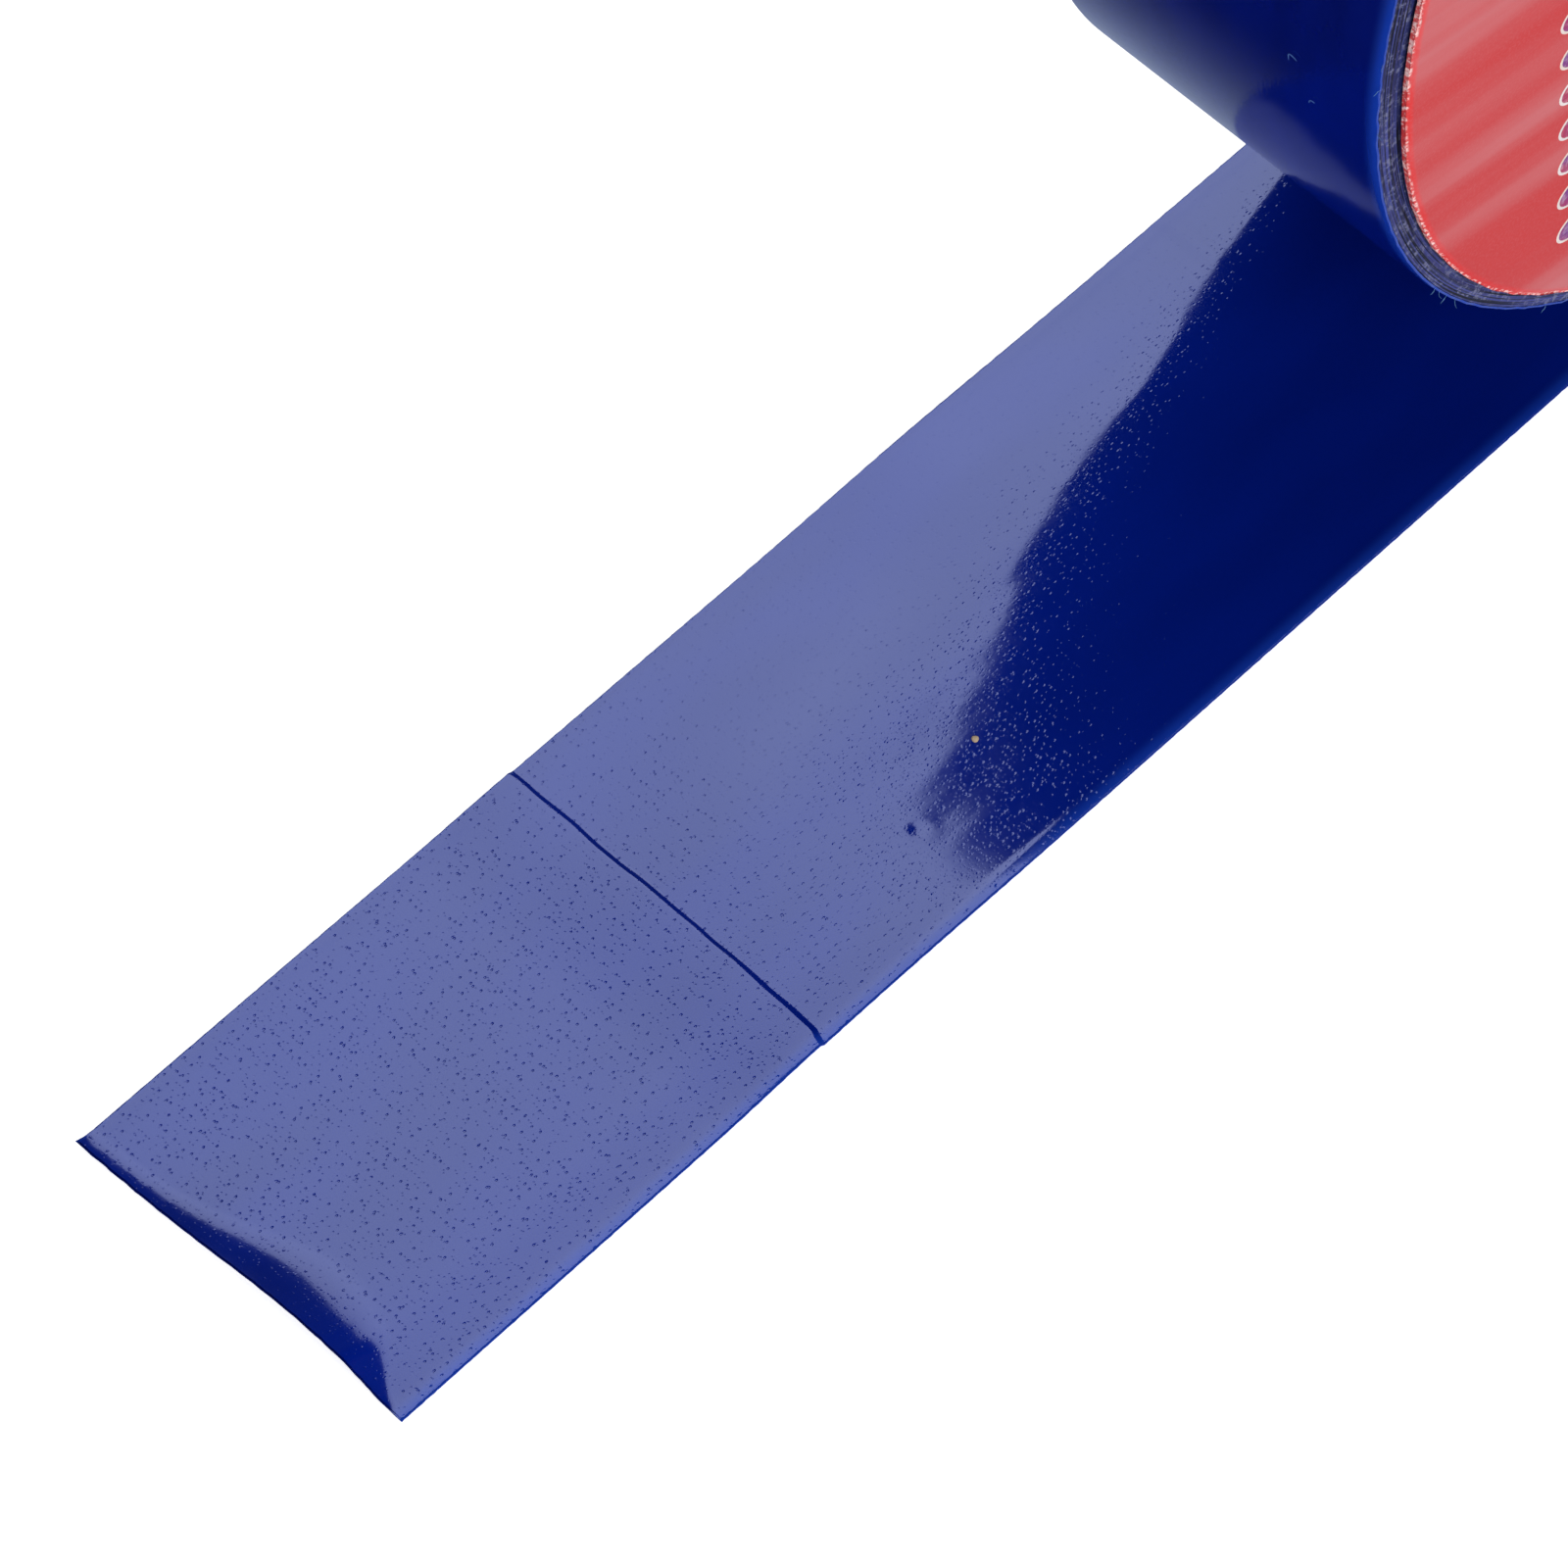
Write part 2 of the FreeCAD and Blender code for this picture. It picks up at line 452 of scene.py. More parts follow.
def fibre(heading, length, bend, seed):
    """A hair of lint as a thin tube: its middle line turns at an even rate, with a slow waver, and both ends
    taper. The tube's points are places in the hair's plane and heights off it."""
    steps, sides, thick = 22, 6, 0.014 * MM
    share = np.linspace(0, 1, steps)
    turn = heading + bend * share + 0.5 * wander(share, seed, 0.7, 2)
    path = np.cumsum(np.stack((np.cos(turn), np.sin(turn)), axis=-1), axis=0) * length / steps
    across = np.stack((-np.sin(turn), np.cos(turn)), axis=-1)
    taper = thick * np.sqrt(np.clip(np.sin(math.pi * (0.04 + 0.92 * share)), 0, 1))
    angle = np.linspace(0, TURN, sides, endpoint=False)
    flat = path[:, None] + across[:, None] * (taper[:, None] * np.cos(angle))[..., None]
    lift = taper[:, None] * np.sin(angle)
    return flat, lift


def lint(name, hairs):
    """Hairs of lint as one mesh. Each lies in a plane given by its start and two directions in space."""
    points, faces, count = [], [], 0
    for number, (start, ahead, aside, heading, length, bend) in enumerate(hairs):
        flat, lift = fibre(heading, length * MM, bend, 100 + number)
        start, ahead, aside = (np.asarray(way, float) for way in (start, ahead, aside))
        off = np.cross(ahead, aside)
        tube = start * MM + flat[..., :1] * ahead + flat[..., 1:] * aside + lift[..., None] * off
        rows, sides = tube.shape[:2]
        last = (rows - 1) * sides
        mesh = np.concatenate((grid_faces(rows, sides, False, True), cap_faces(0, sides, False),
                               cap_faces(last, sides, True)))
        points.append(tube.reshape(-1, 3))
        faces.append(mesh + count)
        count += rows * sides
    return make_mesh(name, np.concatenate(points), np.concatenate(faces))


def crumb(name, centre, radius, squash, seed):
    """A small lumpy grain: a ball of quads, flattened by the squash, whose lumps are sines."""
    rings, steps = 14, 24
    tilt = np.linspace(0.03, math.pi - 0.03, rings)[:, None]
    angle = np.linspace(0, TURN, steps, endpoint=False)
    lumps = 1 + 0.22 * wander_round(angle, seed, 3, 2) * np.sin(tilt) + 0.12 * np.sin(3 * tilt + seed)
    reach = radius * lumps
    points = np.stack((reach * np.sin(tilt) * np.cos(angle), reach * np.sin(tilt) * np.sin(angle),
                       squash * reach * np.cos(tilt) * np.ones(steps)), axis=-1) + np.asarray(centre)
    faces = np.concatenate((grid_faces(rings, steps, False, True)[:, ::-1], cap_faces(0, steps, True),
                            cap_faces((rings - 1) * steps, steps, False)))
    return make_mesh(name, points, faces)


# Materials

class Nodes:
    """A short way to build the nodes of a material or of the room's light."""

    def __init__(self, owner, shader="Principled BSDF"):
        owner.use_nodes = True
        self.owner = owner
        self.tree = owner.node_tree
        self.shader = self.tree.nodes[shader]

    def add(self, kind, inputs=None, **settings):
        """Adds a node with its settings and inputs, and gives its first output."""
        made = self.tree.nodes.new("ShaderNode" + kind)
        for key, value in settings.items():
            setattr(made, key, value)
        for key, value in (inputs or {}).items():
            self.join(value, made.inputs[key])
        return made.outputs[0]

    def join(self, value, socket):
        """Links an output to a socket, or sets the socket to a constant."""
        if isinstance(value, bpy.types.NodeSocket):
            self.tree.links.new(value, socket)
        else:
            socket.default_value = value

    def math(self, operation, a, b=0.0, c=0.0):
        """One operation on up to three numbers."""
        return self.add("Math", {0: a, 1: b, 2: c}, operation=operation)

    def ramp(self, value, low, high, out_low=0.0, out_high=1.0):
        """Goes from one number to another, as a smooth cubic, while the value goes from low to high."""
        inputs = {0: value, 1: low, 2: high, 3: out_low, 4: out_high}
        return self.add("MapRange", inputs, interpolation_type="SMOOTHSTEP")

    def mix(self, share, first, second):
        """A blend of two colours."""
        made = self.tree.nodes.new("ShaderNodeMix")
        made.data_type = "RGBA"
        for key, value in ((0, share), (6, first), (7, second)):
            self.join(value, made.inputs[key])
        return made.outputs[2]

    def coords(self, kind):
        """Texture coordinates of a kind."""
        return self.tree.nodes.new("ShaderNodeTexCoord").outputs[kind]

    def split(self, vector):
        """A vector's three numbers."""
        made = self.tree.nodes.new("ShaderNodeSeparateXYZ")
        self.join(vector, made.inputs[0])
        return made.outputs

    def surface(self, scale):
        """The piece's own UV map times a scale. On the strip a scale of 100 makes one unit a millimetre."""
        return self.add("Mapping", {0: self.add("UVMap", uv_map="surface"), 3: scale})

    def object(self, scale, turn=(0, 0, 0)):
        """Object coordinates in metres, turned and then times a scale."""
        turned = self.add("Mapping", {0: self.coords("Object"), 2: turn})
        return self.add("Mapping", {0: turned, 3: scale})

    def noise(self, vector, scale=1.0, detail=2.0, rough=0.5, distortion=0.0):
        """Smooth random values about 0.5."""
        inputs = {"Vector": vector, "Scale": scale, "Detail": detail}
        return self.add("TexNoise", {**inputs, "Roughness": rough, "Distortion": distortion})

    def cells(self, vector, scale):
        """Scattered points: the distance to the nearest one and that point's random value."""
        made = self.tree.nodes.new("ShaderNodeTexVoronoi")
        made.voronoi_dimensions = "2D"
        self.join(vector, made.inputs["Vector"])
        made.inputs["Scale"].default_value = scale
        apart = self.tree.nodes.new("ShaderNodeSeparateColor")
        self.tree.links.new(made.outputs["Color"], apart.inputs[0])
        return made.outputs["Distance"], apart.outputs[0]

    def bump(self, height, distance, normal=None):
        """Tilts the surface's normal as a height of up to the distance would, on top of an earlier bump."""
        inputs = {"Height": height, "Distance": distance, "Strength": 1.0}
        if normal is not None:
            inputs["Normal"] = normal
        return self.add("Bump", inputs)

    def set(self, **values):
        """Sets the shader's sockets by name, with underscores for spaces."""
        for key, value in values.items():
            self.join(value, self.shader.inputs[key.replace("_", " ")])
        return self.owner


def new_material(name):
    """The nodes of a new material."""
    return Nodes(bpy.data.materials.new(name))


def rgba(colour, gain=1.0):
    """A colour times a gain, as a colour socket takes it."""
    return (colour[0] * gain, colour[1] * gain, colour[2] * gain, 1.0)


def pits(nodes, place, scale, share, radius):
    """Small round pits at a share of scattered points, as a height of 0 down to -1."""
    distance, chance = nodes.cells(place, scale)
    hollow = nodes.ramp(distance, radius * 0.2, radius, 1.0, 0.0)
    chosen = nodes.ramp(chance, share, share + 0.2, 1.0, 0.0)
    return nodes.math("MULTIPLY", nodes.math("MULTIPLY", hollow, chosen), -1.0)


def surface_place(nodes):
    """The two coordinates of the piece's own UV map."""
    return nodes.split(nodes.add("UVMap", uv_map="surface"))


def thin_edges(nodes, colour):
    """Lightens a colour beside the slit edges, where light comes through the film from the table."""
    look = bpy.context.scene.tape_looks
    across = surface_place(nodes)[1]
    places = (MAP_MIDDLE + y * MM * MAP_SCALE for y in (-9.45, -8.70, 9.25, 9.50))
    near_from, near_to, far_from, far_to = places
    near = nodes.ramp(across, near_from, near_to, 0.65, 0.0)
    far = nodes.ramp(across, far_from, far_to, 0.0, 0.5)
    return nodes.mix(nodes.math("ADD", near, far), colour, rgba(look.thin))


def sticky_glue():
    """Glossy glue over navy film: pits drawn out along the tape, fine specks and slow waves."""
    nodes = new_material("sticky_glue")
    look = bpy.context.scene.tape_looks
    drawn = nodes.surface((62, 100, 100))
    big = pits(nodes, drawn, scale=2.8, share=0.36, radius=0.18)
    small = pits(nodes, drawn, scale=5.0, share=0.30, radius=0.23)
    dust = pits(nodes, drawn, scale=9.0, share=0.22, radius=0.30)
    height = nodes.math("MULTIPLY_ADD", small, 0.5, nodes.math("MULTIPLY_ADD", dust, 0.12, big))
    shallow_to, deep_from = 42 * MM * MAP_SCALE, 76 * MM * MAP_SCALE
    depth = nodes.ramp(surface_place(nodes)[0], shallow_to, deep_from, 0.28, 1.2)
    height = nodes.math("MULTIPLY", height, depth)
    slow = nodes.noise(nodes.surface((9, 34, 34)), 1.0, 1.0, 0.4)
    fine = nodes.noise(nodes.surface((60, 100, 100)), 3.2, 2.0, 0.5)
    normal = nodes.bump(slow, look.wave_depth)
    normal = nodes.bump(fine, look.grain_depth, normal)
    normal = nodes.bump(height, look.pit_depth, normal)
    patch = nodes.noise(nodes.surface((8, 22, 22)), 1.0, 2.0, 0.4)
    colour = nodes.mix(nodes.ramp(patch, 0.3, 0.7), rgba(look.navy, 0.92), rgba(look.navy, 1.08))
    colour = thin_edges(nodes, colour)
    smear = nodes.noise(nodes.surface((40, 60, 60)), 1.0, 2.0, 0.5)
    rough = nodes.ramp(smear, 0.3, 0.7, 0.055, 0.075)
    handled_from, handled_to = ((STRIP_LENGTH - place * MM) * MAP_SCALE for place in (4.5, 1.2))
    handled = nodes.ramp(surface_place(nodes)[0], handled_from, handled_to, 0.0, 0.09)
    rough = nodes.math("ADD", rough, handled)
    return nodes.set(Base_Color=colour, Roughness=rough, Normal=normal, **BLUE_GLOSS)


def blue_film():
    """The film's own satin face and its slit edges: navy, with a fine even grain and faint draw lines."""
    nodes = new_material("blue_film")
    look = bpy.context.scene.tape_looks
    lines = nodes.noise(nodes.surface((3, 220, 100)), 1.0, 3.0, 0.6)
    grain = nodes.noise(nodes.surface((300, 100, 100)), 4.0, 2.0, 0.6)
    height = nodes.math("MULTIPLY_ADD", lines, 0.7, grain)
    normal = nodes.bump(height, 0.003 * MM)
    patch = nodes.noise(nodes.surface((30, 40, 40)), 1.0, 3.0, 0.6)
    colour = nodes.mix(nodes.ramp(patch, 0.3, 0.7), rgba(look.film, 0.88), rgba(look.film, 1.1))
    colour = thin_edges(nodes, colour)
    rough = nodes.ramp(grain, 0.3, 0.7, 0.08, 0.13)
    return nodes.set(Base_Color=colour, Roughness=rough, Normal=normal, **BLUE_GLOSS)


def polar(nodes):
    """The distance from the roll's axis in metres, and the unit direction away from it, in Object space."""
    flat = nodes.add("VectorMath", {0: nodes.coords("Object"), 1: (1, 0, 1)}, operation="MULTIPLY")
    length = nodes.tree.nodes.new("ShaderNodeVectorMath")
    length.operation = "LENGTH"
    nodes.tree.links.new(flat, length.inputs[0])
    way = nodes.add("VectorMath", {0: flat}, operation="NORMALIZE")
    return length.outputs["Value"], way


def layered_edge():
    """The side of the coil: fine rings one tape thickness apart, lighter and darker in streaks along the winding,
    partly scuffs and random tone and partly painted light and shade of the turns' uneven edges, with near-black
    painted shade in the gaps between turns and pale specks of dust.
    """
    nodes = new_material("layered_edge")
    look = bpy.context.scene.tape_looks
    radius, way = polar(nodes)
    turns = nodes.math("DIVIDE", radius, TURN_PITCH)
    ring = nodes.add("CombineXYZ", {0: turns})
    place = nodes.add("VectorMath", {0: way, 1: (2.2, 2.2, 2.2)}, operation="MULTIPLY")
    along = nodes.add("VectorMath", {0: place, 1: ring}, operation="ADD")
    each = nodes.noise(ring, 0.9, 2.0, 0.7)
    streak = nodes.noise(along, 1.7, 4.0, 0.7, 0.3)
    speck = nodes.noise(nodes.object((1000, 1000, 1000)), 3.0, 3.0, 0.7)
    # Painted light and shade: the rings and streaks run from dark to bright as if lit on the turns' uneven edges,
    # besides random tone and scuffs
    shade = nodes.math("MULTIPLY_ADD", streak, 0.55, nodes.math("MULTIPLY", each, 0.45))
    colour = nodes.mix(nodes.ramp(shade, 0.42, 0.58), rgba(look.edge, 0.22), rgba(look.edge, 2.2))
    colour = nodes.mix(nodes.ramp(speck, 0.50, 0.64, 0.0, 0.9), colour, rgba(look.dust))
    # Painted shade: near-black gaps between turns, where shade falls
    slot = nodes.add("VectorMath", {0: along, 1: (7.3, 1.1, 4.7)}, operation="ADD")
    gap = nodes.ramp(nodes.noise(slot, 1.9, 2.0, 0.5), 0.57, 0.62)
    colour = nodes.mix(gap, colour, rgba(look.edge, 0.08))
    height = nodes.math("MULTIPLY_ADD", shade, 2.0, nodes.math("MULTIPLY_ADD", gap, -1.5, speck))
    normal = nodes.bump(height, 0.035 * MM)
    return nodes.set(Base_Color=colour, Roughness=0.6, Normal=normal)


def red_card():
    """The label's face: red print with long soft pale streaks, a deep red line, and a pale, crumpled rim whose
    patches are partly pale paper and partly painted sparkling highlights.
    """
    nodes = new_material("red_card")
    look = bpy.context.scene.tape_looks
    radius, _ = polar(nodes)
    slant = (0, math.radians(-11.3), 0)
    streaks = nodes.noise(nodes.object((13, 10, 290), slant), 1.0, 2.0, 0.4)
    fine = nodes.noise(nodes.object((30, 10, 1100), slant), 1.0, 2.0, 0.5)
    veil = nodes.math("MULTIPLY_ADD", fine, 0.16, streaks)
    colour = nodes.mix(nodes.ramp(veil, 0.46, 0.86), rgba(look.red), rgba(look.pale_red))
    crumple = nodes.noise(nodes.object((1000, 1000, 1000)), 3.2, 3.0, 0.7)
    inward = nodes.math("SUBTRACT", CARD_BOX[1].x, radius)
    line, line_red = nodes.ramp(inward, 0.15 * MM, 0.45 * MM, 0.45, 0.0), (0.70, 0.012, 0.010)
    colour = nodes.mix(line, colour, rgba(line_red))
    # Painted highlight: the patchy pale rim is partly the pale paper of the edge and partly sparkling highlights
    # on it
    rim = nodes.ramp(inward, 0.08 * MM, 0.17 * MM, 1.0, 0.0)
    rim_paper_and_glint = nodes.math("MULTIPLY", rim, nodes.ramp(crumple, 0.46, 0.60))
    colour = nodes.mix(rim_paper_and_glint, colour, rgba(look.torn))
    flecks = nodes.noise(nodes.object((1000, 1000, 1000)), 7.0, 2.0, 0.6)
    colour = nodes.mix(nodes.ramp(flecks, 0.45, 0.7, 0.0, 0.22), colour, rgba(look.pale_red))
    height = nodes.math("MULTIPLY_ADD", nodes.math("MULTIPLY", crumple, rim), 9.0, flecks)
    normal = nodes.bump(height, 0.010 * MM)
    return nodes.set(Base_Color=colour, Roughness=0.6, Normal=normal, Specular_IOR_Level=0.15)


def paper(name, colour, fuzz=1.0, rough=0.85):
    """Brown or grey paper: flecks, short fibres and slow changes of shade."""
    nodes = new_material(name)
    cloud = nodes.noise(nodes.object((180, 180, 180)), 1.0, 4.0, 0.6)
    fibres = nodes.noise(nodes.object((900, 2600, 900)), 1.0, 4.0, 0.7, 0.6)
    fleck = nodes.noise(nodes.object((2600, 2600, 2600)), 1.0, 2.0, 0.5)
    shade = nodes.mix(nodes.ramp(cloud, 0.3, 0.7), rgba(colour, 0.8), rgba(colour, 1.15))
    shade = nodes.mix(nodes.ramp(fibres, 0.52, 0.7, 0.0, 0.45 * fuzz), shade, rgba(colour, 0.45))
    shade = nodes.mix(nodes.ramp(fleck, 0.62, 0.75, 0.0, 0.35), shade, rgba(colour, 1.7))
    normal = nodes.bump(fibres, 0.05 * MM * fuzz)
    return nodes.set(Base_Color=shade, Roughness=rough, Normal=normal, Specular_IOR_Level=0.25)


def amber_glue():
    """Hot-melt glue: yellowish and cloudy."""
    nodes = new_material("amber_glue")
    cloud = nodes.noise(nodes.object((600, 600, 600)), 1.0, 3.0, 0.6)
    colour = nodes.mix(nodes.ramp(cloud, 0.3, 0.7), (0.30, 0.20, 0.09, 1), (0.46, 0.33, 0.16, 1))
    normal = nodes.bump(cloud, 0.1 * MM)
    return nodes.set(Base_Color=colour, Roughness=0.3, Normal=normal)


def bead_ink(name, first, second):
    """Printing ink that drifts between two colours, with a fine pale grain."""
    nodes = new_material(name)
    ripple = nodes.noise(nodes.object((260, 10, 420)), 1.0, 2.0, 0.5)
    grain = nodes.noise(nodes.object((4000, 4000, 4000)), 1.0, 2.0, 0.5)
    colour = nodes.mix(nodes.ramp(ripple, 0.35, 0.65), rgba(first), rgba(second))
    colour = nodes.mix(nodes.ramp(grain, 0.4, 0.8, 0.0, 0.2), colour, rgba((1, 1, 1)))
    return nodes.set(Base_Color=colour, Roughness=0.5, Specular_IOR_Level=0.3)


def table_paint():
    """The plain pale table, with a little light of its own so that it stays an even white."""
    nodes = new_material("table_paint")
    stage = bpy.context.scene.tape_stage
    cloud = nodes.noise(nodes.object((3, 3, 3)), 1.0, 2.0, 0.5)
    colour = nodes.mix(cloud, (0.84, 0.84, 0.84, 1), (0.86, 0.86, 0.86, 1))
    return nodes.set(Base_Color=colour, Roughness=0.9, Emission_Color=(1, 1, 1, 1),
                     Emission_Strength=stage.table_glow, Specular_IOR_Level=0.1)


def room(stage):
    """The room's light: dim above the table, and below it, where only gloss sees it, brighter towards +X."""
    nodes = Nodes(bpy.data.worlds.new("room"), "Background")
    way = nodes.split(nodes.coords("Generated"))
    below = nodes.ramp(way[0], -0.45, 0.25, stage.room * 0.1, stage.low_light)
    above = nodes.ramp(way[2], -0.05, 0.0)
    strength = nodes.add("Mix", {0: above, 2: below, 3: stage.room})
    cool_white = (0.93, 1.12, 1.6, 1)
    return nodes.set(Color=cool_white, Strength=strength)


# Settings

class TapeSizes(bpy.types.PropertyGroup):
    """How far the soft film strays from flat and round."""

    swell: FloatProperty(name="Swell", description="Share of the full height of the strip's low swells",
                         default=1.0, min=0.0, max=3.0, subtype="FACTOR")
    bead: FloatProperty(name="Edge Bead", description="Height of the rounded bead inside each slit edge",
                        default=0.018 * MM, min=0.0, max=0.5 * MM, unit="LENGTH")
    fold: FloatProperty(name="Fold", description="Height of the step at the fold line",
                        default=0.20 * MM, min=0.0, max=1 * MM, unit="LENGTH")
    curl: FloatProperty(name="End Curl", description="How far the cut end curls up",
                        default=0.80 * MM, min=0.0, max=4 * MM, unit="LENGTH")
    layer_relief: FloatProperty(name="Layer Relief", description="How unevenly the turns' edges line up",
                                default=0.030 * MM, min=0.0, max=0.2 * MM, unit="LENGTH")


class TapeLooks(bpy.types.PropertyGroup):
    """The colours and the finish of each material."""

    navy: FloatVectorProperty(name="Glue Side", description="Colour of the film seen through its glue",
                              default=(0.0004, 0.0105, 0.200), subtype="COLOR", min=0, max=1)
    film: FloatVectorProperty(name="Film", description="Colour of the film's own face",
                              default=(0.0004, 0.0050, 0.125), subtype="COLOR", min=0, max=1)
    edge: FloatVectorProperty(name="Coil Edge", description="Colour of the coil's layered side",
                              default=(0.016, 0.021, 0.115), subtype="COLOR", min=0, max=1)
    dust: FloatVectorProperty(name="Dust", description="Colour of the scuffs on the coil's side",
                              default=(0.13, 0.14, 0.26), subtype="COLOR", min=0, max=1)
    red: FloatVectorProperty(name="Label Red", description="Deep colour of the label",
                             default=(0.48, 0.036, 0.038), subtype="COLOR", min=0, max=1)
    pale_red: FloatVectorProperty(name="Label Streak", description="Colour of the label's pale streaks",
                                  default=(0.49, 0.135, 0.145), subtype="COLOR", min=0, max=1)
    thin: FloatVectorProperty(name="Thin Edge", description="Colour of the strip's edges lit from behind",
                              default=(0.010, 0.052, 0.42), subtype="COLOR", min=0, max=1)
    # Colour of the label's rim: partly the pale paper of the edge and partly a painted sparkling highlight
    torn: FloatVectorProperty(name="Rim Paper And Glint", description="Colour of the paper at the label's rim",
                              default=(0.80, 0.52, 0.50), subtype="COLOR", min=0, max=1)
    pit_depth: FloatProperty(name="Pit Depth", description="Depth of the pits in the glue",
                             default=0.0110 * MM, min=0.0, max=0.2 * MM, unit="LENGTH")
    grain_depth: FloatProperty(name="Grain Depth", description="Height of the glue's fine grain",
                               default=0.0008 * MM, min=0.0, max=0.2 * MM, unit="LENGTH")
    wave_depth: FloatProperty(name="Wave Depth", description="Height of the glue's slow waves",
                              default=0.03 * MM, min=0.0, max=0.5 * MM, unit="LENGTH")


class TapeStage(bpy.types.PropertyGroup):
    """The camera and the lights."""

    azimuth: FloatProperty(name="Azimuth", description="Direction of the camera round the roll",
                           default=math.radians(-44.41), subtype="ANGLE")
    elevation: FloatProperty(name="Elevation", description="Angle of the camera over the table",
                             default=math.radians(58.54), subtype="ANGLE")
    tilt: FloatProperty(name="Tilt", description="Turn of the camera about its own line of sight",
                        default=math.radians(-1.16), subtype="ANGLE")
    distance: FloatProperty(name="Distance", description="From the camera to the point it looks at",
                            default=373.62 * MM, unit="LENGTH")
    target: FloatVectorProperty(name="Target", description="Point on the table that the camera looks at",
                                default=(-59.2 * MM, 0.79 * MM, TABLE), unit="LENGTH")
    lens: FloatProperty(name="Lens", description="Focal length in millimetres", default=200.87)
    key_way: FloatVectorProperty(name="Softbox Direction", description="From the strip to the softbox",
                                 default=(0.43, 0.40, 0.81), subtype="DIRECTION")
    key_size: FloatProperty(name="Softbox", description="Width of the softbox", default=0.74, unit="LENGTH")
    key_distance: FloatProperty(name="Softbox Distance", description="From the strip to the softbox",
                                default=0.85, unit="LENGTH")
    key_glow: FloatProperty(name="Softbox Glow", description="Brightness of the softbox's face",
                            default=1.02, min=0)
    key_spread: FloatProperty(name="Softbox Spread", description="Angle over which its light spreads",
                              default=math.radians(110), subtype="ANGLE")
    fill_way: FloatVectorProperty(name="Fill Direction", description="From the strip to the fill light",
                                  default=(-0.30, -0.80, 0.52), subtype="DIRECTION")
    fill_size: FloatProperty(name="Fill", description="Width of the fill light", default=0.9, unit="LENGTH")
    fill_distance: FloatProperty(name="Fill Distance", description="From the strip to the fill light",
                                 default=1.0, unit="LENGTH")
    fill_glow: FloatProperty(name="Fill Glow", description="Brightness of the fill light's face",
                             default=4.0, min=0)
    table_glow: FloatProperty(name="Table Glow", description="Light given off by the table",
                              default=0.7, min=0)
    room: FloatProperty(name="Room", description="Brightness of the room above the table",
                        default=0.03, min=0)
    low_light: FloatProperty(name="Low Light", description="Brightness that gloss sees below the table",
                             default=0.30, min=0)


# Operators

class TAPE_OT_core(bpy.types.Operator):
    """Builds the three plies of the cardboard core"""

    bl_idname = "tape.core"
    bl_label = "Core"

    def execute(self, context):
        kraft = paper("kraft_paper", (0.46, 0.28, 0.14))
        board = paper("grey_board", (0.33, 0.26, 0.19), 1.6)
        liner_radius, board_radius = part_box("core_liner_ply")[1].x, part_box("core_board_ply")[1].x
        plies = (
            ("core_liner", "core_liner_ply", BORE_RADIUS, 0.02 * MM, 51, 0.09 * MM, kraft, "kraft_paper"),
            ("core_board", "core_board_ply", liner_radius, 0.06 * MM, 61, 0.0, board, "grey_board"),
            ("core_wrap", "core_wrap_ply", board_radius, 0.03 * MM, 71, 0.0, kraft, "kraft_paper"),
        )
        for name, node, inner, rag, seed, seam, material, slot in plies:
            ply = finish_piece(core_ply(name, node, inner, rag, seed, seam), material, slot, node)
            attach(ply, "roll")
        return {"FINISHED"}


class TAPE_OT_coil(bpy.types.Operator):
    """Builds the wound turns and the last turn round them"""

    bl_idname = "tape.coil"
    bl_label = "Coil"

    def execute(self, context):
        turns = finish_piece(coil("coil"), layered_edge(), "tape_coil", "wound_tape")
        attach(turns, "roll")
        skin = finish_piece(last_turn_skin("last_turn_film"), blue_film(), "tape_backing", "last_turn")
        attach(skin, "lead")
        return {"FINISHED"}


class TAPE_OT_strip(bpy.types.Operator):
    """Builds the drawn-off strip as film and glue, in two pieces that each hold one crease"""

    bl_idname = "tape.strip"
    bl_label = "Strip"

    def execute(self, context):
        film, glue = blue_film(), sticky_glue()
        parts = (
            ("near", 0.0, STRIP_SEAM, ("lead", "middle"), LIFT_CREASE, 1.6 * MM, ("lead", "middle")),
            ("far", STRIP_SEAM, STRIP_LENGTH, ("middle", "end"), END_CREASE, 0.9 * MM, ("end",)),
        )
        top = FILM + GLUE
        for name, start, end, bodies, crease, half, nodes in parts:
            backing = strip_layer(f"film_{name}", start, end, 0.0, FILM, 0.0, 64, 81)
            sticky = strip_layer(f"glue_{name}", start, end, FILM, top, 0.07 * MM, 110, 91)
            finish_piece(backing, film, "tape_backing", *(f"{n}_backing" for n in nodes))
            finish_piece(sticky, glue, "tape_adhesive", *(f"{n}_adhesive" for n in nodes))
            for piece in (backing, sticky):
                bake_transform(piece)
        return {"FINISHED"}


